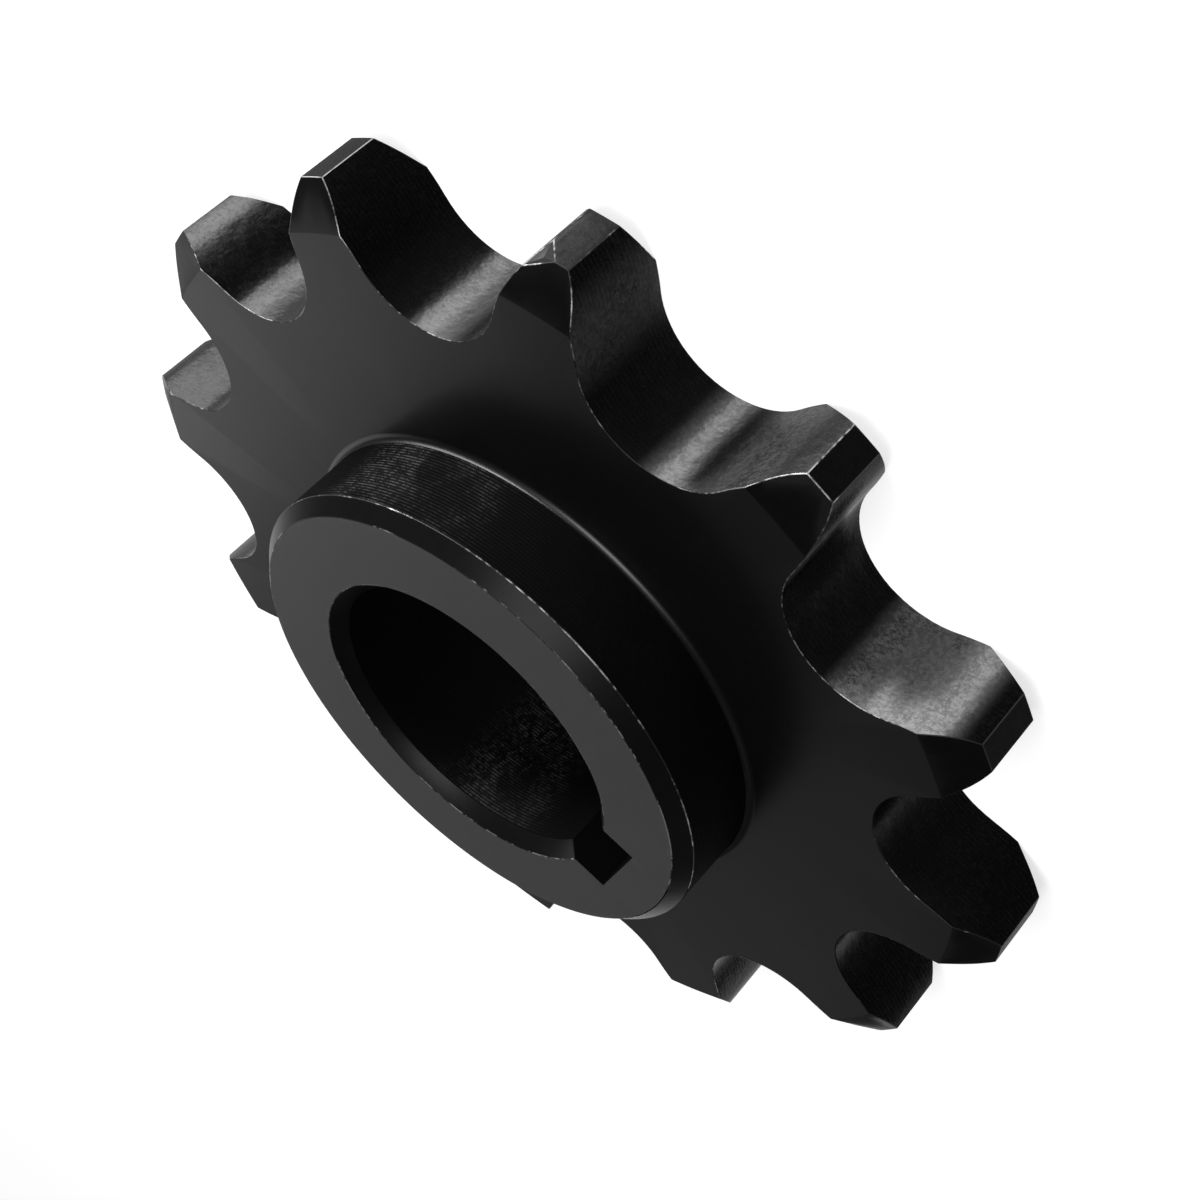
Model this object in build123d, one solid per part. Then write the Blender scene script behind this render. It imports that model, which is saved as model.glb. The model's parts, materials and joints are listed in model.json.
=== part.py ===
from build123d import *
import math
import os

# Chain sprocket with a short hub on one side, for one strand of 15.875 mm pitch roller chain.
# It is one steel piece: a turned blank, twelve tooth gaps cut round its rim, and a keyway
# slotted along its bore. Millimetres, with the bore on Z. The origin is the middle of the flat
# back face, the hub points to +Z, and +X runs through the middle of a tooth gap.

# Chain that runs on it
PITCH = 15.875
ROLLER_DIAMETER = 10.16

# Tooth form: a seat arc under each roller, then on either side a convex flank, which rounds over
# into a nose of smaller radius this far below the tip
TEETH = 12
TIP_DIAMETER = 66.8
ROOT_CLEARANCE = 0.1
SEAT_CLEARANCE = 0.2
SEAT_ANGLE = 130.0
FLANK_RADIUS = 16.0
NOSE_RADIUS = 5.5
NOSE_DEPTH = 1.6

# Toothed plate, with both edges of its rim turned to a cone
PLATE_THICKNESS = 7.1
RIM_CHAMFER_DEPTH = 2.6
RIM_CHAMFER_ANGLE = 30.0

# Hub that stands on the plate's front face
HUB_DIAMETER = 33.6
HUB_HEIGHT = 6.3
HUB_CHAMFER = 0.9
HUB_BASE_FILLET = 0.5

# Bore for the shaft, and the keyway for a 6 mm parallel key
BORE_DIAMETER = 20.0
BORE_CHAMFER = 0.9
KEY_WIDTH = 6.0
KEYWAY_DEPTH = 2.8
KEYWAY_TURN = -3.5

# How far a cutting shape runs past the metal that it cuts, and how far the nose's arc does
CUT_MARGIN = 2.0
NOSE_MARGIN = 0.5

# Worked out from the sizes above
PITCH_RADIUS = PITCH / 2 / math.sin(math.pi / TEETH)
TIP_RADIUS = TIP_DIAMETER / 2
ROOT_RADIUS = PITCH_RADIUS - ROLLER_DIAMETER / 2 - ROOT_CLEARANCE
SEAT_RADIUS = ROLLER_DIAMETER / 2 + SEAT_CLEARANCE
RIM_CHAMFER_HEIGHT = RIM_CHAMFER_DEPTH * math.tan(math.radians(RIM_CHAMFER_ANGLE))
HUB_RADIUS = HUB_DIAMETER / 2
BORE_RADIUS = BORE_DIAMETER / 2
TOTAL_HEIGHT = PLATE_THICKNESS + HUB_HEIGHT


def turned_blank():
    """Plate and hub in one piece, turned round the bore's axis, with every edge that is turned."""
    with BuildPart() as blank:
        with BuildSketch(Plane.XZ):
            with BuildLine():
                rim = Polyline(
                    (BORE_RADIUS + BORE_CHAMFER, 0),
                    (TIP_RADIUS - RIM_CHAMFER_DEPTH, 0),
                    (TIP_RADIUS, RIM_CHAMFER_HEIGHT),
                    (TIP_RADIUS, PLATE_THICKNESS - RIM_CHAMFER_HEIGHT),
                    (TIP_RADIUS - RIM_CHAMFER_DEPTH, PLATE_THICKNESS),
                    (HUB_RADIUS + HUB_BASE_FILLET, PLATE_THICKNESS),
                )
                base = RadiusArc(
                    rim @ 1,
                    (HUB_RADIUS, PLATE_THICKNESS + HUB_BASE_FILLET),
                    HUB_BASE_FILLET,
                )
                Polyline(
                    base @ 1,
                    (HUB_RADIUS, TOTAL_HEIGHT - HUB_CHAMFER),
                    (HUB_RADIUS - HUB_CHAMFER, TOTAL_HEIGHT),
                    (BORE_RADIUS + BORE_CHAMFER, TOTAL_HEIGHT),
                    (BORE_RADIUS, TOTAL_HEIGHT - BORE_CHAMFER),
                    (BORE_RADIUS, BORE_CHAMFER),
                    rim @ 0,
                )
            make_face()
        revolve(axis=Axis.Z)
    return blank.part


def crossing(centre, radius, outer_radius):
    """Point where an arc round centre, seen from the gap, crosses a circle round the bore's axis."""
    distance = centre.length
    outer_radius = min(outer_radius, distance + radius)
    along = (distance**2 + outer_radius**2 - radius**2) / (2 * distance)
    across = math.sqrt(max(0.0, outer_radius**2 - along**2))
    direction = centre.normalized()
    return direction * along + Vector(direction.Y, -direction.X) * across


def arc(centre, start, end):
    """Shorter arc round centre from start to end."""
    radius = (start - centre).length
    middle = centre + ((start + end) / 2 - centre).normalized() * radius
    return ThreePointArc(start, middle, end)


def gap_outline():
    """Outline of the tooth gap on +X: the roller's seat, both flanks and noses, and a way out."""
    axis = Vector(0, 0)
    root = Vector(ROOT_RADIUS, 0)
    seat_centre = Vector(ROOT_RADIUS + SEAT_RADIUS, 0)
    half_angle = math.radians(SEAT_ANGLE / 2)
    outward = Vector(-math.cos(half_angle), math.sin(half_angle))
    seat_end = seat_centre + outward * SEAT_RADIUS
    flank_centre = seat_centre + outward * (SEAT_RADIUS + FLANK_RADIUS)
    nose_start = crossing(flank_centre, FLANK_RADIUS, TIP_RADIUS - NOSE_DEPTH)
    nose_centre = nose_start + (flank_centre - nose_start).normalized() * NOSE_RADIUS
    nose_end = crossing(nose_centre, NOSE_RADIUS, TIP_RADIUS + NOSE_MARGIN)
    way_out = nose_end.normalized() * (TIP_RADIUS + CUT_MARGIN)
    with BuildSketch() as outline:
        with BuildLine():
            arc(seat_centre, root, seat_end)
            arc(flank_centre, seat_end, nose_start)
            arc(nose_centre, nose_start, nose_end)
            Line(nose_end, way_out)
            arc(axis, way_out, Vector(TIP_RADIUS + CUT_MARGIN, 0))
            mirror(about=Plane.XZ)
        make_face()
    return outline.sketch


def tooth_gaps():
    """One cutter for each gap, which together leave the teeth standing on the blank's rim."""
    cutter_height = PLATE_THICKNESS + 2 * CUT_MARGIN
    cutter = Pos(Z=-CUT_MARGIN) * extrude(gap_outline(), cutter_height)
    return PolarLocations(0, TEETH) * cutter


def keyway():
    """Square slot that runs the whole length of the bore's wall."""
    slot_length = BORE_RADIUS + KEYWAY_DEPTH
    slot_height = TOTAL_HEIGHT + 2 * CUT_MARGIN
    slot = Box(slot_length, KEY_WIDTH, slot_height, align=(Align.MIN, Align.CENTER, Align.MIN))
    return Rot(Z=KEYWAY_TURN) * Pos(Z=-CUT_MARGIN) * slot


def sprocket():
    """The finished sprocket: the blank with its gaps and its keyway cut."""
    return turned_blank() - tooth_gaps() - keyway()


os.makedirs("parts", exist_ok=True)
finished = sprocket()
finished.label = "sprocket"
export_step(finished, "parts/sprocket.step")
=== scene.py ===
import json
import logging
import math
from dataclasses import dataclass, field
from enum import IntEnum
from typing import Sequence

import bmesh
import bpy
from mathutils import Matrix, Vector


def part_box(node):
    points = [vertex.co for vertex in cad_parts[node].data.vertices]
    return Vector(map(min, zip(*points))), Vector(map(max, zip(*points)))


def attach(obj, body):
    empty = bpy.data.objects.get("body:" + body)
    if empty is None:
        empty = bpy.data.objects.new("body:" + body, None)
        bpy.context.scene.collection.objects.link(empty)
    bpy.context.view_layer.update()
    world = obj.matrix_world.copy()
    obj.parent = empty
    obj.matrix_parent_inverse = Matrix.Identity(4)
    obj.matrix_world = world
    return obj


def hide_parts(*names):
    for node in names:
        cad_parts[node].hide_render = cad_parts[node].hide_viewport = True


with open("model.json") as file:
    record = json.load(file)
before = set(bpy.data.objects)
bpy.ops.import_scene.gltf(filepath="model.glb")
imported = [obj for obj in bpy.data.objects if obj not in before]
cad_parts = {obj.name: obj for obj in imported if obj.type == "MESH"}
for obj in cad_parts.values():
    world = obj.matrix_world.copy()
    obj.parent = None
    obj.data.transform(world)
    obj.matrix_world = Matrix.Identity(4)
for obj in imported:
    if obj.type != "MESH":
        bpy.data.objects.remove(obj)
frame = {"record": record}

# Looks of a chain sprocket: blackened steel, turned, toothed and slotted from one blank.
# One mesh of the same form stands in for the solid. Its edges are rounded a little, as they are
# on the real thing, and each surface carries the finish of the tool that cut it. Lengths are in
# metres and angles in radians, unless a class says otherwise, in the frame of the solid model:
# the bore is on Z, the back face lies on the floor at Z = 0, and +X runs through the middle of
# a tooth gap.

log = logging.getLogger("sprocket")

Vert = bmesh.types.BMVert
Edge = bmesh.types.BMEdge
Face = bmesh.types.BMFace
Socket = bpy.types.NodeSocket
Input = Socket | float | tuple
Range = tuple[float, float]

MM = 0.001
ORIGIN = Vector((0.0, 0.0, 0.0))
UP = Vector((0.0, 0.0, 1.0))

# How near points lie that are one point, and how near to a wall a point lies that is on it
WELD = 2e-6
ON_WALL = 5 * WELD

# Share of a face's normal that points up or down, above which it counts as level or as sloping
LEVEL = 0.99
SLOPING = 0.3

# How far inside the tips a face may lie that still belongs to a tooth's land
LAND_MARGIN = 0.1 * MM

# The Mix node's sockets for its share, its two colours and its result
MIX_SHARE, MIX_FIRST, MIX_SECOND, MIX_RESULT = 0, 6, 7, 2

# What a place is multiplied by to bring it down to the back face
LEVEL_PART = (1.0, 1.0, 0.0)

# How much more blue than red a grey has
COOLNESS = 1.01


def on_circle(radius: float, angle: float) -> Vector:
    """Point at an angle from +X on a circle round the bore's axis."""
    return Vector((radius * math.cos(angle), radius * math.sin(angle), 0.0))


def turn_of(point: Vector) -> float:
    """Angle from +X to a point."""
    return math.atan2(point.y, point.x)


def radius_of(point: Vector) -> float:
    """Distance of a point from the bore's axis."""
    return math.hypot(point.x, point.y)


def crossing(centre: Vector, radius: float, outer_radius: float) -> Vector:
    """Point where an arc, seen from the tooth gap on +X, crosses a circle round the bore's axis.

    Args:
        centre: the arc's centre.
        radius: the arc's radius.
        outer_radius: the circle's radius.

    Returns:
        The crossing that lies nearer to +X.
    """
    reach = centre.length
    along = (reach**2 + outer_radius**2 - radius**2) / (2 * reach)
    across = math.sqrt(outer_radius**2 - along**2)
    direction = centre.normalized()
    return direction * along + Vector((direction.y, -direction.x, 0.0)) * across


def nearest(edges: Sequence[Edge], place: Vector) -> Vert:
    """The vertex of some edges that is nearest to a place."""
    verts = dict.fromkeys(vert for edge in edges for vert in edge.verts)
    return min(verts, key=lambda vert: (vert.co - place).length)


def on_wall(edges: Sequence[Edge], normal: Vector, offset: float) -> list:
    """Those of some edges that lie on the wall at an offset along a normal."""
    return [
        edge for edge in edges
        if all(abs(vert.co.dot(normal) - offset) < ON_WALL for vert in edge.verts)
    ]


def add_object(name: str, data: bpy.types.ID) -> bpy.types.Object:
    """Puts a mesh, a lamp or a camera into the scene.

    Args:
        name: the object's name.
        data: what it shows.

    Returns:
        The object, at the origin.
    """
    added = bpy.data.objects.new(name, data)
    bpy.context.scene.collection.objects.link(added)
    return added


class Zone(IntEnum):
    """The surfaces that carry a finish of their own, in the order of the mesh's material slots."""

    FACE = 0
    TURNED = 1
    TOOTH = 2
    CHAMFER = 3
    KEYWAY = 4
    EDGE = 5
    HUB_FACE = 6
    LAND = 7
    BARE = 8
    RIM = 9
    BORE = 10


@dataclass(frozen=True)
class ToothForm:
    """Outline of a tooth gap: a seat arc for the roller, a convex flank and a rounder nose."""

    teeth: int
    pitch_radius: float
    roller_radius: float = 5.08 * MM
    tip_radius: float = 33.4 * MM
    root_clearance: float = 0.1 * MM
    seat_clearance: float = 0.2 * MM
    seat_angle: float = math.radians(130.0)
    flank_radius: float = 16.0 * MM
    nose_radius: float = 5.5 * MM
    nose_depth: float = 1.6 * MM

    @property
    def root_radius(self) -> float:
        """Distance from the bore's axis to the bottom of a gap."""
        return self.pitch_radius - self.roller_radius - self.root_clearance

    @property
    def seat_radius(self) -> float:
        """Radius of the arc that the roller seats in."""
        return self.roller_radius + self.seat_clearance

    @property
    def half_pitch(self) -> float:
        """Angle from the middle of a gap to the middle of the next tooth."""
        return math.pi / self.teeth

    @property
    def seat_centre(self) -> Vector:
        """Centre of the seat arc of the gap on +X."""
        return Vector((self.root_radius + self.seat_radius, 0.0, 0.0))

    @property
    def outward(self) -> Vector:
        """Direction from the seat's centre to where it runs into the flank on the +Y side."""
        half = self.seat_angle / 2
        return Vector((-math.cos(half), math.sin(half), 0.0))

    @property
    def seat_end(self) -> Vector:
        """Point where the seat runs into the flank."""
        return self.seat_centre + self.outward * self.seat_radius

    @property
    def flank_centre(self) -> Vector:
        """Centre of the flank arc, inside the tooth."""
        return self.seat_centre + self.outward * (self.seat_radius + self.flank_radius)

    @property
    def nose_start(self) -> Vector:
        """Point where the flank runs into the nose."""
        return crossing(self.flank_centre, self.flank_radius, self.tip_radius - self.nose_depth)

    @property
    def nose_centre(self) -> Vector:
        """Centre of the nose arc."""
        inward = (self.flank_centre - self.nose_start).normalized()
        return self.nose_start + inward * self.nose_radius

    @property
    def tip(self) -> Vector:
        """Corner between the nose and the tooth's land."""
        return crossing(self.nose_centre, self.nose_radius, self.tip_radius)


@dataclass(frozen=True)
class Plate:
    """The toothed plate, with both edges of its rim turned to a cone."""

    thickness: float = 7.1 * MM
    chamfer_depth: float = 2.6 * MM
    chamfer_angle: float = math.radians(30.0)


@dataclass(frozen=True)
class Hub:
    """The short hub on the plate's front face."""

    top: float
    radius: float = 16.8 * MM
    chamfer: float = 0.9 * MM
    base_fillet: float = 0.5 * MM


@dataclass(frozen=True)
class Bore:
    """The shaft's hole, chamfered at both mouths, with its keyway."""

    radius: float
    chamfer: float = 0.9 * MM
    key_width: float = 6.0 * MM
    keyway_depth: float = 2.8 * MM
    keyway_turn: float = math.radians(-3.5)

    @property
    def along(self) -> Vector:
        """Direction from the bore's axis to the middle of the keyway."""
        return on_circle(1.0, self.keyway_turn)

    @property
    def across(self) -> Vector:
        """Direction from one side wall of the keyway to the other."""
        return UP.cross(self.along)

    @property
    def bottom(self) -> float:
        """Distance from the bore's axis to the bottom of the keyway."""
        return self.radius + self.keyway_depth

    def in_keyway(self, point: Vector, margin: float = WELD) -> bool:
        """Whether a point lies in the keyway or on its walls.

        Args:
            point: the point.
            margin: how far outside the side walls it may lie.

        Returns:
            True beyond the bore's wall and within the key's width.
        """
        past_wall = radius_of(point) > self.radius + WELD
        within = abs(point.dot(self.across)) < self.key_width / 2 + margin
        return past_wall and within and point.dot(self.along) > 0


@dataclass(frozen=True)
class Nick:
    """A small chip knocked off a corner, which shows bare metal round its rim."""

    place: Vector
    outward: Vector
    reach: float = 2.4 * MM
    depth: float = 0.42 * MM
    hollow: float = 0.12 * MM
    rim: float = 0.10 * MM


@dataclass(frozen=True)
class WearAndHighlightPatch:
    """A patch of a wall, round an upright line through it, in degrees and millimetres. It is wear
    on the edges and a dulled spot on the land. On the flanks, in the gaps, on the hub's wall and in
    the
    bore it is a painted highlight: a lighter colour where highlights fall.

    It is whole up to one distance from the line and gone at another. What its tone does is said
    by the finish that has it.
    """

    turn: float
    radius: float
    whole: float
    gone: float
    tone: float


@dataclass(frozen=True)
class MeshDetail:
    """How finely the round shapes are divided, and how much the edges are broken."""

    seat_steps: int = 12
    flank_steps: int = 7
    crown_steps: int = 2
    nose_steps: int = 6
    land_steps: int = 3
    ring_steps: int = 8
    fillet_steps: int = 5
    edge_break: float = 0.13 * MM
    edge_segments: int = 3
    sharp_angle: float = math.radians(36.0)
    smooth_angle: float = math.radians(50.0)


class Shape:
    """A bmesh that is drawn with lines and arcs, spun, cut and filled."""

    def __init__(self) -> None:
        """Starts with nothing in it."""
        self.bm = bmesh.new()

    @property
    def everything(self) -> list:
        """All its vertices, edges and faces."""
        return self.bm.verts[:] + self.bm.edges[:] + self.bm.faces[:]

    def point(self, place: Vector) -> Vert:
        """Adds one loose vertex."""
        return bmesh.ops.create_vert(self.bm, co=place)["vert"][0]

    def line(self, start: Vert, end: Vert) -> list:
        """Joins two vertices with an edge, and returns it in a list."""
        return bmesh.ops.contextual_create(self.bm, geom=[start, end])["edges"]

    def arc_to(self, start: Vert, centre: Vector, end: Vector, steps: int) -> tuple:
        """Draws the shorter arc from a vertex to a new place.

        Args:
            start: the vertex that the arc starts from.
            centre: the arc's centre.
            end: where it ends.
            steps: how many edges it has.

        Returns:
            The arc's last vertex, and its edges.
        """
        first, last = start.co - centre, end - centre
        before = set(self.bm.edges)
        axis = first.cross(last).normalized()
        drawn = self.spin([start], first.angle(last), steps, cent=centre, axis=axis)
        tail = next(item for item in drawn if isinstance(item, Vert))
        return tail, [edge for edge in self.bm.edges if edge not in before]

    def spin(self, geom: Sequence, angle: float, steps: int, **settings: object) -> list:
        """Turns geometry about the bore's axis, and leaves its trace or its copies behind.

        Args:
            geom: what is turned.
            angle: how far it is turned.
            steps: in how many steps.
            settings: the operator's other settings, if any.

        Returns:
            What stands at the end of the turn.
        """
        settings = {"axis": UP} | settings
        drawn = bmesh.ops.spin(self.bm, geom=list(geom), angle=angle, steps=steps, **settings)
        return drawn["geom_last"]

    def cut(
        self, faces: Sequence[Face], place: Vector, normal: Vector, clear: bool = False
    ) -> list:
        """Cuts faces with a plane.

        Args:
            faces: the faces to cut.
            place: a point of the plane.
            normal: the direction that the plane faces.
            clear: whether the metal in front of the plane goes.

        Returns:
            The edges that lie in the plane.
        """
        edges = dict.fromkeys(edge for face in faces for edge in face.edges)
        verts = dict.fromkeys(vert for face in faces for vert in face.verts)
        cut = bmesh.ops.bisect_plane(
            self.bm, geom=[*verts, *edges, *faces], dist=WELD, plane_co=place, plane_no=normal,
            clear_outer=clear,
        )
        return [item for item in cut["geom_cut"] if isinstance(item, Edge)]

    def fill(self, edges: Sequence[Edge]) -> list:
        """Fills a closed flat loop of edges with one face, and returns it in a list."""
        return bmesh.ops.contextual_create(self.bm, geom=list(edges))["faces"]

    def weld(self) -> None:
        """Merges the vertices that lie on each other."""
        bmesh.ops.remove_doubles(self.bm, verts=self.bm.verts[:], dist=WELD)

    def place(self, name: str) -> bpy.types.Object:
        """Makes an object of the shape, and frees the shape.

        Args:
            name: the name of the object and of its mesh.

        Returns:
            The object.
        """
        mesh = bpy.data.meshes.new(name)
        self.bm.to_mesh(mesh)
        self.bm.free()
        return add_object(name, mesh)


@dataclass(frozen=True)
class SprocketBody:
    """The whole sprocket as one closed mesh, with a zone for each finish."""

    tooth: ToothForm
    plate: Plate
    hub: Hub
    bore: Bore
    nicks: Sequence[Nick]
    detail: MeshDetail = MeshDetail()
    shape: Shape = field(default_factory=Shape)

    @property
    def ring_radius(self) -> float:
        """Radius at which the plate's face runs into the fillet at the hub's base."""
        return self.hub.radius + self.hub.base_fillet

    @property
    def cone_start(self) -> float:
        """Radius at which the plate's faces run into the cones of its rim."""
        return self.tooth.tip_radius - self.plate.chamfer_depth

    def build(self, name: str) -> bpy.types.Object:
        """Makes the mesh and its object.

        Args:
            name: the object's name.

        Returns:
            The object, at the origin, with its place in its mesh.
        """
        bm = self.shape.bm
        self._draw_half_gap()
        self._repeat_round_the_rim()
        self._give_thickness()
        self._turn_core()
        self.shape.weld()
        self._slot_keyway()
        self._wall_keyway()
        bmesh.ops.recalc_face_normals(bm, faces=bm.faces[:])
        for face in bm.faces:
            face.material_index = self._zone_of(face)
        self._break_edges()
        for nick in self.nicks:
            self._knock(nick)
        body = self.shape.place(name)
        body.data.shade_smooth()
        body.data.set_sharp_from_angle(angle=self.detail.smooth_angle)
        weighted = body.modifiers.new("flat_faces_stay_flat", "WEIGHTED_NORMAL")
        weighted.mode = "FACE_AREA"
        weighted.keep_sharp = True
        return body

    def _draw_half_gap(self) -> None:
        """Draws half of the gap on +X and half of the tooth beside it, as two flat faces."""
        shape, tooth, detail = self.shape, self.tooth, self.detail
        cone_foot = crossing(tooth.flank_centre, tooth.flank_radius, self.cone_start)
        root = shape.point(Vector((tooth.root_radius, 0, 0)))
        seat_end, seat = shape.arc_to(root, tooth.seat_centre, tooth.seat_end, detail.seat_steps)
        cone_end, flank = shape.arc_to(seat_end, tooth.flank_centre, cone_foot, detail.flank_steps)
        crown_end, crown = shape.arc_to(
            cone_end, tooth.flank_centre, tooth.nose_start, detail.crown_steps
        )
        tip, nose = shape.arc_to(crown_end, tooth.nose_centre, tooth.tip, detail.nose_steps)
        land_middle = on_circle(tooth.tip_radius, tooth.half_pitch)
        land_end, land = shape.arc_to(tip, ORIGIN, land_middle, detail.land_steps)
        crease_middle = on_circle(self.cone_start, tooth.half_pitch)
        crease_end, crease = shape.arc_to(cone_end, ORIGIN, crease_middle, detail.land_steps)
        ring_start = shape.point(Vector((self.ring_radius, 0, 0)))
        ring_middle = on_circle(self.ring_radius, tooth.half_pitch)
        ring_end, ring = shape.arc_to(ring_start, ORIGIN, ring_middle, detail.ring_steps)
        gap_line = shape.line(ring_start, root)
        tooth_line = shape.line(crease_end, ring_end)
        tip_line = shape.line(land_end, crease_end)
        shape.fill(seat + flank + crease + tooth_line + ring + gap_line)
        shape.fill(crown + nose + land + tip_line + crease)

    def _repeat_round_the_rim(self) -> None:
        """Mirrors the half gap and repeats it for each tooth."""
        shape, copies = self.shape, self.tooth.teeth - 1
        bmesh.ops.mirror(shape.bm, geom=shape.everything, axis="Y", merge_dist=WELD)
        shape.spin(shape.everything, 2 * self.tooth.half_pitch * copies, copies, use_duplicate=True)
        shape.weld()

    def _give_thickness(self) -> None:
        """Extrudes the outline, leaves its middle open for the core, and turns its rim to cones."""
        bm = self.shape.bm
        raised = bmesh.ops.extrude_face_region(bm, geom=bm.faces[:], use_keep_orig=True)
        upper = [item for item in raised["geom"] if isinstance(item, Vert)]
        bmesh.ops.translate(bm, verts=upper, vec=UP * self.plate.thickness)
        inner_radius = self.ring_radius + WELD
        inner = [
            face for face in bm.faces
            if all(radius_of(vert.co) < inner_radius for vert in face.verts)
        ]
        bmesh.ops.delete(bm, geom=inner, context="FACES")
        slope = math.tan(self.plate.chamfer_angle)
        for vert in bm.verts:
            past = radius_of(vert.co) - self.cone_start
            if past < WELD:
                continue
            side = -1 if vert.co.z > self.plate.thickness / 2 else 1
            vert.co.z += side * past * slope

    def _turn_core(self) -> None:
        """Turns the hub, the bore and the middle of the back face in one spin."""
        shape, hub, bore, plate = self.shape, self.hub, self.bore, self.plate
        base = plate.thickness + hub.base_fillet
        start = shape.point(Vector((self.ring_radius, 0, plate.thickness)))
        fillet_centre = Vector((self.ring_radius, 0, base))
        wall_foot = Vector((hub.radius, 0, base))
        end, edges = shape.arc_to(start, fillet_centre, wall_foot, self.detail.fillet_steps)
        corners = (
            (hub.radius, hub.top - hub.chamfer),
            (hub.radius - hub.chamfer, hub.top),
            (bore.radius + bore.chamfer, hub.top),
            (bore.radius, hub.top - bore.chamfer),
            (bore.radius, bore.chamfer),
            (bore.radius + bore.chamfer, 0.0),
            (self.ring_radius, 0.0),
        )
        for radius, height in corners:
            corner = shape.point(Vector((radius, 0, height)))
            edges += shape.line(end, corner)
            end = corner
        verts = dict.fromkeys(vert for edge in edges for vert in edge.verts)
        steps = self.detail.ring_steps * 2 * self.tooth.teeth
        shape.spin([*verts, *edges], 2 * math.pi, steps, use_merge=True)

    def _slot_keyway(self) -> None:
        """Cuts the keyway open through the bore's wall and both faces."""
        bm, bore, half = self.shape.bm, self.bore, self.bore.key_width / 2
        walls = ((bore.across, half), (-bore.across, half), (bore.along, bore.bottom))
        for normal, offset in walls:
            faces = [face for face in bm.faces if self._is_near_keyway(face)]
            self.shape.cut(faces, normal * offset, normal)
        opened = [
            face for face in bm.faces
            if self._is_near_keyway(face)
            and all(face.calc_center_median().dot(normal) < offset for normal, offset in walls)
        ]
        bmesh.ops.delete(bm, geom=opened, context="FACES")

    def _is_near_keyway(self, face: Face) -> bool:
        """Whether a face lies round the keyway, inside the hub's wall.

        Args:
            face: a face of the turned shape.

        Returns:
            True in the hub, the bore or the back face, within a key's width of the keyway.
        """
        middle = face.calc_center_median()
        in_hub = all(radius_of(vert.co) < self.hub.radius - WELD for vert in face.verts)
        in_back = all(vert.co.z < WELD for vert in face.verts)
        beside = abs(middle.dot(self.bore.across)) < self.bore.key_width
        return (in_hub or in_back) and beside and middle.dot(self.bore.along) > 0

    def _wall_keyway(self) -> None:
        """Gives the opened keyway its two side walls and its bottom."""
        shape, bore, half = self.shape, self.bore, self.bore.key_width / 2
        rim = [edge for edge in shape.bm.edges if edge.is_boundary]
        for side in (-half, half):
            corner = bore.along * bore.bottom + bore.across * side
            upright = shape.line(nearest(rim, corner + UP * self.hub.top), nearest(rim, corner))
            shape.fill(on_wall(rim, bore.across, side) + upright)
            rim += upright
        shape.fill(on_wall(rim, bore.along, bore.bottom))

    def _zone_of(self, face: Face) -> Zone:
        """Tells by its place and its slope which tool cut a face.

        Args:
            face: a face of the shape whose edges are still sharp.

        Returns:
            The zone whose finish it has.
        """
        middle = face.calc_center_median()
        radius = radius_of(middle)
        slope = abs(face.normal.z)
        if slope > LEVEL:
            return Zone.HUB_FACE if middle.z > self.plate.thickness + WELD else Zone.FACE
        if radius > self.ring_radius and slope > SLOPING:
            return Zone.RIM
        if radius > self.tooth.tip_radius - LAND_MARGIN:
            return Zone.LAND
        if radius > self.ring_radius:
            return Zone.TOOTH
        if radius < self.bore.bottom and self.bore.in_keyway(middle):
            return Zone.KEYWAY
        if slope > SLOPING:
            return Zone.FACE if radius > self.hub.radius else Zone.CHAMFER
        return Zone.TURNED if radius > (self.bore.radius + self.hub.radius) / 2 else Zone.BORE

    def _break_edges(self) -> None:
        """Rounds every sharp edge a little, and marks the rounding as worn."""
        bm, detail, margin = self.shape.bm, self.detail, 2 * self.detail.edge_break
        sharp = [edge for edge in bm.edges if self._is_sharp(edge)]
        rounded = bmesh.ops.bevel(
            bm, geom=sharp, offset=detail.edge_break, offset_type="OFFSET", affect="EDGES",
            segments=detail.edge_segments, profile=0.5, clamp_overlap=True, material=-1,
        )
        for face in rounded["faces"]:
            middle = face.calc_center_median()
            if self.bore.in_keyway(middle, margin):
                face.material_index = Zone.KEYWAY
            elif radius_of(middle) < self.bore.radius + margin:
                face.material_index = Zone.BORE
            else:
                face.material_index = Zone.EDGE

    def _is_sharp(self, edge: Edge) -> bool:
        """Whether an edge needs breaking.

        Args:
            edge: an edge of the shape.

        Returns:
            True at a sharp corner, other than the small fillet at the hub's base.
        """
        if not edge.is_manifold or edge.calc_face_angle(0.0) <= self.detail.sharp_angle:
            return False
        low = self.plate.thickness - WELD
        high = self.plate.thickness + self.hub.base_fillet + WELD
        in_fillet = all(
            low <= vert.co.z <= high and radius_of(vert.co) <= self.ring_radius + WELD
            for vert in edge.verts
        )
        return not in_fillet

    def _knock(self, nick: Nick) -> None:
        """Chips the metal off at a nick, and leaves its floor hollow and its rim bright.

        Args:
            nick: where it is chipped.
        """
        shape, bm, outward = self.shape, self.shape.bm, nick.outward.normalized()
        faces = [
            face for face in bm.faces
            if face.material_index != Zone.FACE
            and any((vert.co - nick.place).length < nick.reach for vert in face.verts)
        ]
        edges = shape.cut(faces, nick.place - outward * nick.depth, outward, clear=True)
        floor = shape.fill([edge for edge in edges if edge.is_boundary])
        ring = bmesh.ops.inset_region(bm, faces=floor, thickness=nick.rim, use_even_offset=True)
        for face in ring["faces"]:
            face.material_index = Zone.BARE
        poked = bmesh.ops.poke(bm, faces=floor)
        bmesh.ops.translate(bm, verts=poked["verts"], vec=-outward * nick.hollow)
        for face in poked["faces"]:
            face.material_index = Zone.RIM


@dataclass(frozen=True)
class Noise:
    """A soft random pattern, from 0 to 1.

    Its scale is how many cells it has to a metre, its detail how many finer layers lie on them,
    and its roughness how strong those are. It may be drawn together along X, Y and Z.
    """

    scale: float
    detail: float = 4.0
    roughness: float = 0.6
    stretch: tuple = ()


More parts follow.
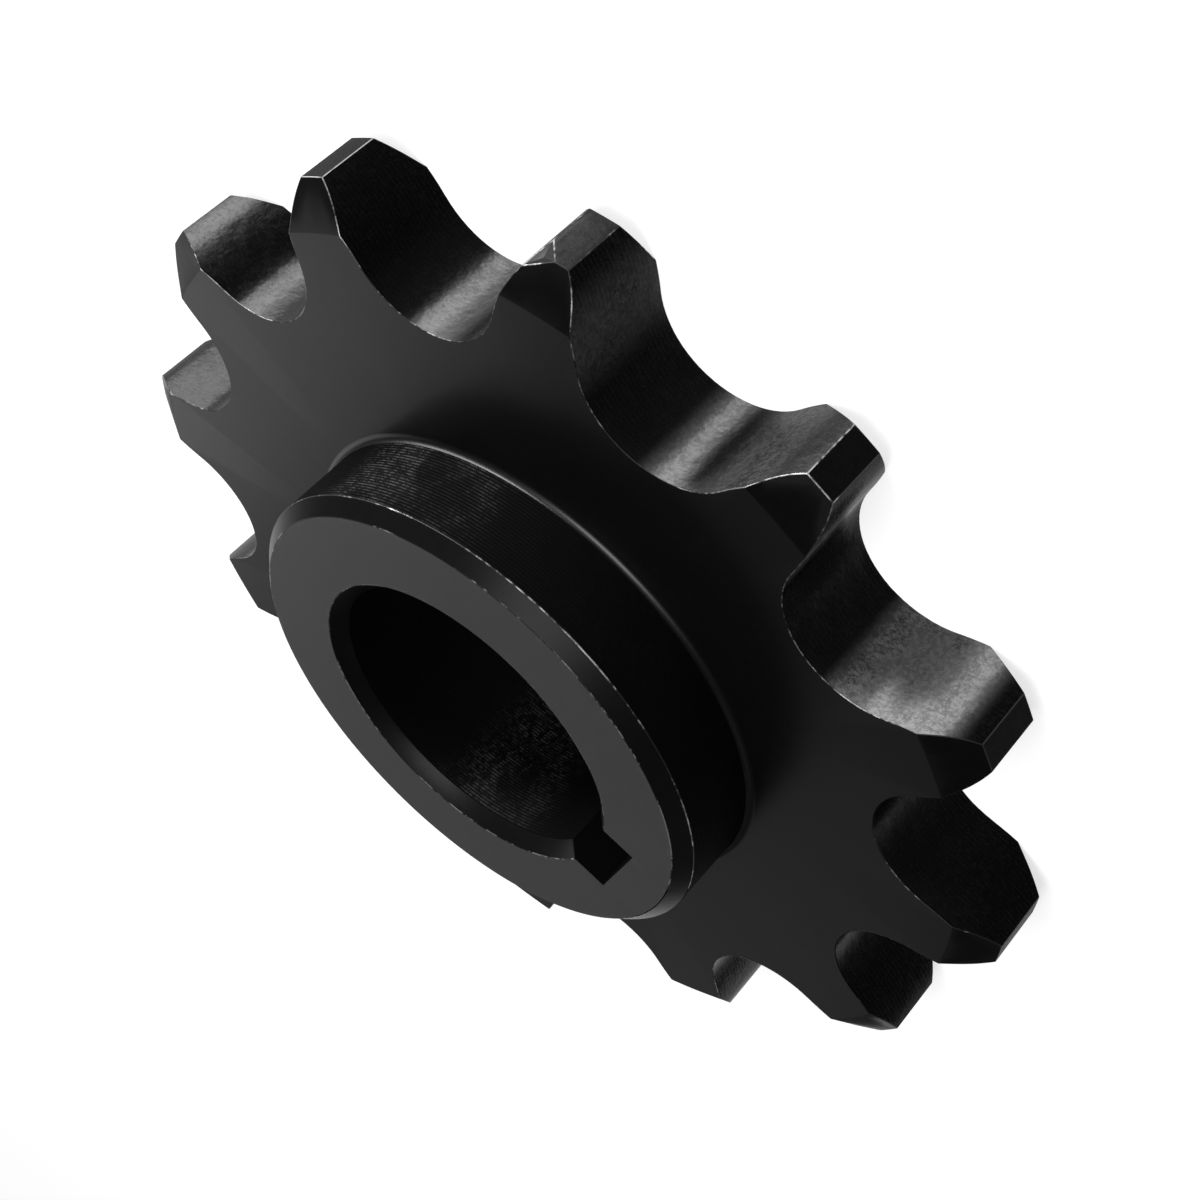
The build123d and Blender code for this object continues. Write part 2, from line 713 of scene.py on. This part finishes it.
class Graph:
    """A material's node tree, with short calls for the nodes that the finishes share."""

    def __init__(self, name: str) -> None:
        """Starts a material with a bare shader.

        Args:
            name: the material's name.
        """
        self.material = bpy.data.materials.new(name)
        self.material.use_nodes = True
        self.tree = self.material.node_tree
        self.shader = self.tree.nodes["Principled BSDF"]
        self.place = self.node("TexCoord").outputs["Object"]

    def node(self, kind: str, inputs: dict | None = None, **settings: object) -> bpy.types.Node:
        """Adds a node.

        Args:
            kind: the node's type, without the ShaderNode before it.
            inputs: what goes into its sockets, by their names or numbers.
            settings: its properties, by name.

        Returns:
            The new node.
        """
        added = self.tree.nodes.new("ShaderNode" + kind)
        for key, value in settings.items():
            setattr(added, key, value)
        for key, source in (inputs or {}).items():
            self.join(source, added.inputs[key])
        return added

    def join(self, source: Input, target: Socket) -> None:
        """Links an output to an input, or sets the input to a plain value.

        Args:
            source: the output, or a number or a colour.
            target: the input.
        """
        if isinstance(source, Socket):
            self.tree.links.new(source, target)
        else:
            target.default_value = source

    def set(self, name: str, source: Input) -> None:
        """Links or sets one input of the shader by its name."""
        self.join(source, self.shader.inputs[name])

    def math(self, operation: str, *values: Input, clamp: bool = False) -> Socket:
        """Works out one value from others, held between 0 and 1 if clamped."""
        inputs = dict(enumerate(values))
        return self.node("Math", inputs, operation=operation, use_clamp=clamp).outputs[0]

    def times(self, first: Input, second: Input, clamp: bool = False) -> Socket:
        """Multiplies two values, held between 0 and 1 if clamped."""
        return self.math("MULTIPLY", first, second, clamp=clamp)

    def plus(self, first: Input, second: Input) -> Socket:
        """Adds two values."""
        return self.math("ADD", first, second)

    def away(self, value: Input, centre: float) -> Socket:
        """How far a value lies from a number, on either side."""
        return self.math("ABSOLUTE", self.math("SUBTRACT", value, centre))

    def weigh(self, share: float, first: Input, second: Input) -> Socket:
        """Adds a share of one pattern and the rest of another."""
        return self.plus(self.times(first, share), self.times(second, 1.0 - share))

    def step(self, value: Input, low: float, high: float) -> Socket:
        """Turns a value into a soft step, which is 0 at low and 1 at high."""
        inputs = {"Value": value, "From Min": low, "From Max": high}
        return self.node("MapRange", inputs, interpolation_type="SMOOTHSTEP").outputs["Result"]

    def span(self, value: Input, low: float, high: float) -> Socket:
        """Stretches a value from 0..1 to low..high."""
        inputs = {"Value": value, "To Min": low, "To Max": high}
        return self.node("MapRange", inputs).outputs["Result"]

    def blend(self, share: Input, first: Input, second: Input) -> Socket:
        """Mixes two colours, of which the second shows by its share."""
        inputs = {MIX_SHARE: share, MIX_FIRST: first, MIX_SECOND: second}
        return self.node("Mix", inputs, data_type="RGBA").outputs[MIX_RESULT]

    def noise(self, pattern: Noise) -> Socket:
        """Adds a soft random pattern.

        Args:
            pattern: its scale and its layers.

        Returns:
            The pattern's socket, from 0 to 1.
        """
        inputs = {"Scale": pattern.scale, "Detail": pattern.detail, "Roughness": pattern.roughness}
        inputs["Vector"] = self.place
        if pattern.stretch:
            stretched = self.node("Mapping", {"Vector": self.place, "Scale": pattern.stretch})
            inputs["Vector"] = stretched.outputs["Vector"]
        return self.node("TexNoise", inputs).outputs["Fac"]

    def axes(self) -> Sequence[Socket]:
        """The sockets of X, Y and Z on the object."""
        return self.node("SeparateXYZ", {0: self.place}).outputs

    def height(self) -> Socket:
        """Height above the back face."""
        return self.axes()["Z"]

    def radius(self) -> Socket:
        """Distance from the bore's axis."""
        x, y, _ = self.axes()
        return self.math("SQRT", self.plus(self.times(x, x), self.times(y, y)))

    def near(self, spot: WearAndHighlightPatch) -> Socket:
        """Picks out a patch.

        Args:
            spot: the place and reach of the patch.

        Returns:
            A socket that is 1 in the middle of the patch and 0 outside it.
        """
        centre = on_circle(spot.radius * MM, math.radians(spot.turn))
        flat = self.node("VectorMath", {0: self.place, 1: LEVEL_PART}, operation="MULTIPLY")
        ends = {0: flat.outputs["Vector"], 1: centre}
        away = self.node("VectorMath", ends, operation="DISTANCE")
        return self.step(away.outputs["Value"], spot.gone * MM, spot.whole * MM)

    def toned(self, spot: WearAndHighlightPatch) -> Socket:
        """A patch, as strong as its tone."""
        return self.times(self.near(spot), spot.tone)

    def rings(self, value: Socket, pitch: float) -> Socket:
        """Ridges that repeat along a length, from -1 to 1."""
        return self.math("SINE", self.times(value, 2 * math.pi / pitch))

    def bump(self, height: Input, depth: float, below: Input = (0.0, 0.0, 0.0)) -> Socket:
        """Raises the surface by a pattern from 0 to 1, over a coarser one's normal if given."""
        inputs = {"Height": height, "Distance": depth, "Normal": below}
        return self.node("Bump", inputs).outputs["Normal"]

    def feed_marks(self, pitch: float, slope: float, wander: Input, below: Socket) -> Socket:
        """Cuts a saw-toothed ridge for each pass of a tool, whose long side leans upwards.

        Args:
            pitch: distance from ridge to ridge along Z.
            slope: how far the long side falls back for each unit of height.
            wander: how far the ridges stray from level.
            below: the normal of the grain under them.

        Returns:
            The normal's socket.
        """
        place = self.plus(self.height(), wander)
        along = self.math("FRACT", self.math("DIVIDE", place, pitch))
        return self.bump(self.math("SUBTRACT", 1.0, along), pitch * slope, below)


def grey(value: float) -> tuple:
    """A neutral colour of that linear value."""
    return (value, value, value * COOLNESS, 1.0)


@dataclass(frozen=True)
class SatinOxide:
    """Faced surfaces under black oxide: even and satin, with a faint mottle and facing rings."""

    name: str = "black_oxide_satin"
    dark: float = 0.001
    light: float = 0.003
    roughness: Range = (0.30, 0.40)
    specular: float = 0.42
    mottle: Noise = Noise(1400.0, detail=5.0, roughness=0.7)
    mottle_share: float = 0.6
    mottle_depth: float = 0.003 * MM
    cloud: Noise = Noise(150.0, detail=3.0)
    ring_pitch: float = 0.22 * MM
    ring_depth: float = 0.0005 * MM
    wear_and_highlight: float = 0.05
    rubbed_rings: Sequence[float] = ()
    rubbed_reach: float = 0.35 * MM
    specks: Noise = Noise(2200.0, detail=3.0, roughness=0.7)
    speck_step: Range = (0.5, 0.66)

    def build(self) -> bpy.types.Material:
        """Makes the material.

        Returns:
            The material.
        """
        graph = Graph(self.name)
        mottle = graph.noise(self.mottle)
        tone = graph.weigh(self.mottle_share, mottle, graph.noise(self.cloud))
        colour = graph.blend(tone, grey(self.dark), grey(self.light))
        specks = graph.step(graph.noise(self.specks), *self.speck_step)
        for radius in self.rubbed_rings:
            near = graph.step(graph.away(graph.radius(), radius), self.rubbed_reach, 0.0)
            colour = graph.blend(graph.times(near, specks), colour, grey(self.wear_and_highlight))
        graph.set("Base Color", colour)
        graph.set("Roughness", graph.span(tone, *self.roughness))
        graph.set("Specular IOR Level", self.specular)
        rings = graph.span(graph.rings(graph.radius(), self.ring_pitch), 0.0, 1.0)
        ridges = graph.bump(rings, self.ring_depth)
        graph.set("Normal", graph.bump(mottle, self.mottle_depth, ridges))
        return graph.material


@dataclass(frozen=True)
class TurnedOxide:
    """Turned walls under black oxide: ridges from the tool's feed, glossier and lighter in patches.

    The lighter colour of the patches is a painted highlight, put where highlights fall on the hub's
    wall and in the bore; their gloss is real. A patch's tone is the share of that lightening and
    gloss that it has.
    """

    name: str = "black_oxide_turned"
    dark: float = 0.001
    wear_and_highlight: float = 0.055
    wear_and_highlight_patches: Sequence[WearAndHighlightPatch] = ()
    least_wear_and_highlight: float = 0.03
    feed: float = 0.22 * MM
    slope: float = 0.34
    crest: Range = (-0.1, 0.9)
    roughness: Range = (0.60, 0.30)
    crest_roughness: Range = (0.18, 0.0)
    grain_roughness: Range = (-0.08, 0.10)
    specular: float = 0.035
    patches: Noise = Noise(300.0)
    patch_step: Range = (0.36, 0.62)
    least_patch: float = 0.1
    grain: Noise = Noise(2600.0, detail=3.0, roughness=0.7)
    grain_step: Range = (0.42, 0.62)
    grain_depth: float = 0.006 * MM

    def build(self) -> bpy.types.Material:
        """Makes the material.

        Returns:
            The material.
        """
        graph = Graph(self.name)
        wear_and_highlight = 0.0
        for spot in self.wear_and_highlight_patches:
            wear_and_highlight = graph.math("MAXIMUM", wear_and_highlight, graph.toned(spot))
        wear_and_highlight = graph.span(wear_and_highlight, self.least_wear_and_highlight, 1.0)
        patches = graph.step(graph.noise(self.patches), *self.patch_step)
        patches = graph.times(graph.span(patches, self.least_patch, 1.0), wear_and_highlight)
        grain = graph.noise(self.grain)
        crests = graph.step(graph.rings(graph.height(), self.feed), *self.crest)
        # Painted highlight: the crests in the patches, which lie where highlights fall, are painted
        # a lighter grey.
        wear_and_highlight_share = graph.times(patches, graph.times(crests, graph.step(grain, *self.grain_step)))
        graph.set("Base Color", graph.blend(wear_and_highlight_share, grey(self.dark), grey(self.wear_and_highlight)))
        sheen = graph.span(patches, *self.roughness)
        sheen = graph.plus(sheen, graph.span(crests, *self.crest_roughness))
        graph.set("Roughness", graph.plus(sheen, graph.span(grain, *self.grain_roughness)))
        graph.set("Specular IOR Level", self.specular)
        grained = graph.bump(grain, self.grain_depth)
        graph.set("Normal", graph.feed_marks(self.feed, self.slope, 0.0, grained))
        return graph.material


@dataclass(frozen=True)
class ScaleOxide:
    """Cut tooth flanks under black oxide: rough and scaly, greyer where the rollers seat.

    Its lighter patches are painted highlights, put where highlights and reflections fall on the
    flanks and in the gaps. A patch's tone is the grey painted there where the oxide is sound. The
    tone of a dulled patch is what it adds to the roughness.
    """

    name: str = "black_oxide_scale"
    dark: float = 0.001
    scale: float = 0.003
    seat: Range = (30.5 * MM, 25.3 * MM)
    least_seat: float = 0.05
    wear_and_highlight_patches: Sequence[WearAndHighlightPatch] = ()
    dulled: Sequence[WearAndHighlightPatch] = ()
    feed: float = 0.30 * MM
    slope: float = 0.40
    wander: Noise = Noise(600.0, detail=3.0)
    wander_reach: float = 0.12 * MM
    roughness: float = 0.22
    grain_roughness: float = 0.07
    grain_step: Range = (0.52, 0.40)
    specular: float = 0.17
    flakes: Noise = Noise(3400.0, detail=5.0, roughness=0.75)
    flake_cover: Range = (0.34, 0.58)
    flake_step: Range = (0.40, 0.62)
    flake_tone: Range = (0.62, 1.2)
    flake_depth: float = 0.002 * MM
    patches: Noise = Noise(420.0, stretch=(1.0, 1.0, 0.5))
    patch_cover: Range = (-0.45, 0.45)
    patch_tone: Range = (0.7, 1.2)
    patch_depth: float = 0.008 * MM
    veins: Noise = Noise(1500.0, detail=5.0, roughness=0.75)
    vein_middle: float = 0.5
    vein_reach: float = 0.06
    vein_patches: Range = (0.46, 0.60)
    vein_tone: Range = (1.0, 0.3)

    def build(self) -> bpy.types.Material:
        """Makes the material.

        Returns:
            The material.
        """
        graph = Graph(self.name)
        flakes = graph.noise(self.flakes)
        patches = graph.noise(self.patches)
        veins = graph.away(graph.noise(self.veins), self.vein_middle)
        veins = graph.step(veins, self.vein_reach, 0.0)
        veins = graph.times(veins, graph.step(patches, *self.vein_patches))
        cover = graph.step(flakes, *self.flake_cover)
        cover = graph.plus(cover, graph.span(patches, *self.patch_cover))
        seat = graph.span(graph.step(graph.radius(), *self.seat), self.least_seat, 1.0)
        share = graph.times(graph.times(cover, 1.0, clamp=True), seat)
        colour = graph.blend(share, grey(self.dark), grey(self.scale))
        flaked = graph.span(graph.step(flakes, *self.flake_step), *self.flake_tone)
        sound = graph.span(veins, *self.vein_tone)
        sound = graph.times(sound, graph.span(patches, *self.patch_tone))
        sound = graph.times(sound, flaked)
        # Painted highlights: each patch paints the flank a lighter grey where a highlight falls.
        for spot in self.wear_and_highlight_patches:
            share = graph.times(graph.near(spot), sound, clamp=True)
            colour = graph.blend(share, colour, grey(spot.tone))
        graph.set("Base Color", colour)
        grain = graph.math("MAXIMUM", veins, graph.step(flakes, *self.grain_step))
        sheen = graph.span(grain, self.roughness, self.roughness + self.grain_roughness)
        for spot in self.dulled:
            sheen = graph.plus(sheen, graph.toned(spot))
        graph.set("Roughness", sheen)
        graph.set("Specular IOR Level", self.specular)
        coarse = graph.bump(patches, self.patch_depth)
        fine = graph.bump(flakes, self.flake_depth, coarse)
        wander = graph.span(graph.noise(self.wander), 0.0, self.wander_reach)
        graph.set("Normal", graph.feed_marks(self.feed, self.slope, wander, fine))
        return graph.material


@dataclass(frozen=True)
class WornEdge:
    """Broken edges: bare steel where wear has gone through the oxide, black where it hasn't.

    A patch's tone is added to the pattern that bares the steel, and takes from it below 0.
    """

    name: str = "steel_worn_edge"
    oxide: float = 0.005
    steel: float = 0.40
    metallic: float = 0.8
    roughness: Range = (0.42, 0.34)
    specular: float = 0.25
    runs: Noise = Noise(260.0)
    run_share: float = 0.7
    specks: Noise = Noise(2400.0, detail=2.0)
    cover: float = 0.54
    fade: Range = (-0.05, 0.08)
    wear_and_highlight_patches: Sequence[WearAndHighlightPatch] = ()

    def build(self) -> bpy.types.Material:
        """Makes the material.

        Returns:
            The material.
        """
        graph = Graph(self.name)
        wear = graph.weigh(self.run_share, graph.noise(self.runs), graph.noise(self.specks))
        for spot in self.wear_and_highlight_patches:
            wear = graph.plus(wear, graph.toned(spot))
        bare = graph.step(wear, *(self.cover + edge for edge in self.fade))
        graph.set("Base Color", graph.blend(bare, grey(self.oxide), grey(self.steel)))
        graph.set("Metallic", graph.span(bare, 0.0, self.metallic))
        graph.set("Roughness", graph.span(bare, *self.roughness))
        graph.set("Specular IOR Level", self.specular)
        return graph.material


class Sprocket:
    """The object itself: its mesh, its finishes, and the solid that they stand for."""

    def __init__(self) -> None:
        """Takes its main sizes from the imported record, and the rest from its own fields."""
        mounts = {entry["name"]: entry.get("dims") for entry in frame["record"]["mounts"]}
        teeth, bore = mounts["chain_teeth"], mounts["bore"]
        low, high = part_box("sprocket")
        self.tooth = ToothForm(teeth=teeth["count"], pitch_radius=teeth["pcd_mm"] / 2 * MM)
        self.plate = Plate()
        self.body = SprocketBody(
            tooth=self.tooth,
            plate=self.plate,
            hub=Hub(top=high[2] - low[2]),
            bore=Bore(radius=bore["r_mm"] * MM),
            nicks=(self._chip(),),
        )
        self.finishes = self._finishes()

    def _chip(self) -> Nick:
        """Finds the corner of nose, land and rim cone that is knocked off one tooth.

        Returns:
            The nick there.
        """
        tooth, plate = self.tooth, self.plate
        tooth_turn, lean, lift = math.radians(105.0), math.radians(22.0), 0.35
        turn = tooth_turn + tooth.half_pitch - turn_of(tooth.tip)
        corner = on_circle(tooth.tip_radius, turn)
        corner.z = plate.thickness - plate.chamfer_depth * math.tan(plate.chamfer_angle)
        return Nick(place=corner, outward=on_circle(1.0, turn + lean) + UP * lift)

    def _finishes(self) -> dict:
        """Lists what each zone is finished with.

        Returns:
            The finishes, by zone.
        """
        # The wall's and the bore's patches are glossier and are painted lighter where highlights
        # fall: partly real gloss, partly painted highlight. The land's patch only dulls it, and the
        # edges' patches bare more or less steel.
        wall_gloss_and_painted_highlight = WearAndHighlightPatch(turn=127.0, radius=16.8, whole=3.0, gone=7.0, tone=1.0)
        bore_gloss_and_painted_highlight = WearAndHighlightPatch(turn=290.0, radius=10.0, whole=1.0, gone=5.0, tone=1.0)
        dull_land = WearAndHighlightPatch(turn=46.5, radius=33.4, whole=3.0, gone=5.0, tone=0.35)
        edge_rubs = (
            WearAndHighlightPatch(turn=135.0, radius=32.0, whole=2.5, gone=4.5, tone=0.08),
            WearAndHighlightPatch(turn=79.0, radius=32.0, whole=1.5, gone=3.5, tone=0.08),
            WearAndHighlightPatch(turn=65.0, radius=16.0, whole=3.0, gone=8.0, tone=0.04),
            WearAndHighlightPatch(turn=45.0, radius=33.0, whole=3.0, gone=5.0, tone=-0.15),
        )
        return {
            Zone.FACE: SatinOxide(),
            Zone.HUB_FACE: SatinOxide(
                name="black_oxide_hub_face", dark=0.019, light=0.042, roughness=(0.38, 0.48),
                specular=0.8, rubbed_rings=(15.8 * MM, 11.0 * MM),
            ),
            Zone.CHAMFER: SatinOxide(
                name="black_oxide_chamfer", dark=0.002, light=0.005, specular=0.10
            ),
            Zone.RIM: SatinOxide(name="black_oxide_rim", specular=0.18),
            Zone.TURNED: TurnedOxide(wear_and_highlight_patches=(wall_gloss_and_painted_highlight,)),
            Zone.BORE: TurnedOxide(
                name="black_oxide_bored", wear_and_highlight=0.03, crest=(-1.0, 0.9), wear_and_highlight_patches=(bore_gloss_and_painted_highlight,)
            ),
            Zone.KEYWAY: TurnedOxide(name="black_oxide_keyway", wear_and_highlight=0.01, specular=0.02),
            Zone.TOOTH: ScaleOxide(wear_and_highlight_patches=self._flank_painted_highlights()),
            Zone.LAND: ScaleOxide(
                name="black_oxide_land", feed=0.1 * MM, roughness=0.32, specular=0.09,
                dulled=(dull_land,),
            ),
            Zone.EDGE: WornEdge(wear_and_highlight_patches=edge_rubs),
            Zone.BARE: WornEdge(name="steel_bare", cover=0.48),
        }

    def _flank_painted_highlights(self) -> tuple:
        """Lists the painted highlights on the flanks and in the gaps: lighter patches put where
        highlights and reflections fall, seen from the camera's side.

        Returns:
            The patches.
        """
        lean = math.degrees(turn_of(self.tooth.seat_end))
        flank = self.tooth.seat_end.length / MM + 1.0
        return (
            WearAndHighlightPatch(turn=60.0 - lean, radius=flank - 0.9, whole=2.6, gone=4.2, tone=0.11),
            WearAndHighlightPatch(turn=60.0 + lean, radius=flank, whole=0.4, gone=2.8, tone=0.25),
            WearAndHighlightPatch(turn=90.0 - lean, radius=flank, whole=1.4, gone=3.6, tone=0.06),
            WearAndHighlightPatch(turn=90.0 + lean, radius=flank, whole=0.4, gone=3.4, tone=0.05),
            WearAndHighlightPatch(turn=86.0, radius=25.9, whole=0.4, gone=1.7, tone=0.06),
            WearAndHighlightPatch(turn=119.9, radius=25.5, whole=0.6, gone=2.4, tone=0.045),
        )

    def place(self) -> bpy.types.Object:
        """Builds the mesh, dresses it, and puts it in the solid's place.

        Returns:
            The dressed object.
        """
        piece = self.body.build("sprocket_steel")
        for zone in Zone:
            piece.data.materials.append(self.finishes[zone].build())
        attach(piece, "root")
        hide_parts("sprocket")
        return piece


@dataclass(frozen=True)
class Softbox:
    """A large flat lamp that looks at the object, so wide and so high. Angles are in degrees."""

    name: str
    azimuth: float
    elevation: float
    size: Range
    radiance: float
    distance: float = 1.0

    def place(self, target: Vector) -> None:
        """Puts the lamp up.

        Args:
            target: the point that it faces.
        """
        data = bpy.data.lights.new(self.name, "AREA")
        data.shape = "RECTANGLE"
        data.size, data.size_y = self.size
        data.energy = self.radiance * math.pi * math.prod(self.size)
        turn, lift = math.radians(self.azimuth), math.radians(self.elevation)
        direction = on_circle(math.cos(lift), turn) + UP * math.sin(lift)
        lamp = add_object(self.name, data)
        lamp.location = target + direction * self.distance
        lamp.rotation_euler = direction.to_track_quat("Z", "Y").to_euler()


@dataclass(frozen=True)
class Studio:
    """A pale floor, soft lamps and an even sky."""

    floor_radius: float = 2.0
    floor_sides: int = 96
    floor_colour: float = 0.5
    floor_roughness: float = 0.9
    floor_specular: float = 0.1
    floor_glow: float = 0.72
    sky: float = 0.04
    target: Vector = Vector((0.0, 0.0, 5.0)) * MM
    lamps: Sequence[Softbox] = (
        Softbox("key_softbox", azimuth=140.0, elevation=9.0, size=(0.45, 0.25), radiance=22.0),
        Softbox("side_softbox", azimuth=168.0, elevation=9.0, size=(0.6, 0.25), radiance=11.0),
        Softbox("top_softbox", azimuth=95.0, elevation=58.0, size=(0.5, 0.5), radiance=8.6),
        Softbox("white_card", azimuth=236.0, elevation=20.0, size=(0.5, 0.5), radiance=1.06),
        Softbox("side_card", azimuth=268.0, elevation=20.0, size=(0.5, 0.5), radiance=0.20),
        Softbox("front_card", azimuth=90.0, elevation=30.0, size=(0.9, 0.3), radiance=0.35),
        Softbox("right_card", azimuth=350.0, elevation=30.0, size=(0.9, 0.3), radiance=0.18),
    )

    def place(self) -> None:
        """Builds the floor, the sky and the lamps, which face the target."""
        self._lay_floor()
        self._light_sky()
        for lamp in self.lamps:
            lamp.place(self.target)

    def _lay_floor(self) -> None:
        """Lays a round pale floor, which shows white and keeps the object's shadow."""
        shape = Shape()
        bmesh.ops.create_circle(
            shape.bm, cap_ends=True, segments=self.floor_sides, radius=self.floor_radius
        )
        floor = shape.place("floor")
        graph = Graph("floor_paper")
        graph.set("Base Color", grey(self.floor_colour))
        graph.set("Roughness", self.floor_roughness)
        graph.set("Specular IOR Level", self.floor_specular)
        rays = graph.node("LightPath").outputs
        seen = graph.math("MAXIMUM", rays["Is Camera Ray"], rays["Is Glossy Ray"])
        seen = graph.math("MAXIMUM", seen, rays["Is Transmission Ray"])
        graph.set("Emission Color", grey(1.0))
        graph.set("Emission Strength", graph.times(seen, self.floor_glow))
        floor.data.materials.append(graph.material)

    def _light_sky(self) -> None:
        """Gives the world one even pale light."""
        world = bpy.data.worlds.new("studio_sky")
        world.use_nodes = True
        background = world.node_tree.nodes["Background"]
        background.inputs["Color"].default_value = grey(1.0)
        background.inputs["Strength"].default_value = self.sky
        bpy.context.scene.world = world


@dataclass(frozen=True)
class PhotoCamera:
    """The photograph's camera, on the hub's side and rolled. Lens and sensor are in millimetres."""

    place_at: Vector = Vector((15.84, 113.79, 62.67)) * MM
    look_at: Vector = Vector((1.65, 12.46, 7.1)) * MM
    roll: float = math.radians(-135.03)
    lens: float = 61.625
    sensor: float = 36.0
    shift: Range = (0.0035, -0.0080)
    clip_start: float = 10.0 * MM

    def place(self) -> None:
        """Puts the camera up and makes it the scene's own."""
        data = bpy.data.cameras.new("photo_camera")
        data.lens = self.lens
        data.sensor_width = self.sensor
        data.shift_x, data.shift_y = self.shift
        data.clip_start = self.clip_start
        ahead = (self.look_at - self.place_at).normalized()
        level_right = ahead.cross(UP).normalized()
        level_up = level_right.cross(ahead)
        right = level_right * math.cos(self.roll) + level_up * math.sin(self.roll)
        up = level_up * math.cos(self.roll) - level_right * math.sin(self.roll)
        turned = Matrix((right, up, -ahead)).transposed().to_4x4()
        camera = add_object("photo_camera", data)
        camera.matrix_world = Matrix.Translation(self.place_at) @ turned
        bpy.context.scene.camera = camera


def main() -> None:
    """Builds the object, the studio and the camera."""
    logging.basicConfig(level=logging.INFO)
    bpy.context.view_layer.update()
    piece = Sprocket().place()
    log.info("placed %s with %d faces", piece.name, len(piece.data.polygons))
    Studio().place()
    PhotoCamera().place()
    bpy.context.scene.view_settings.view_transform = "Standard"


if __name__ == "__main__":
    main()
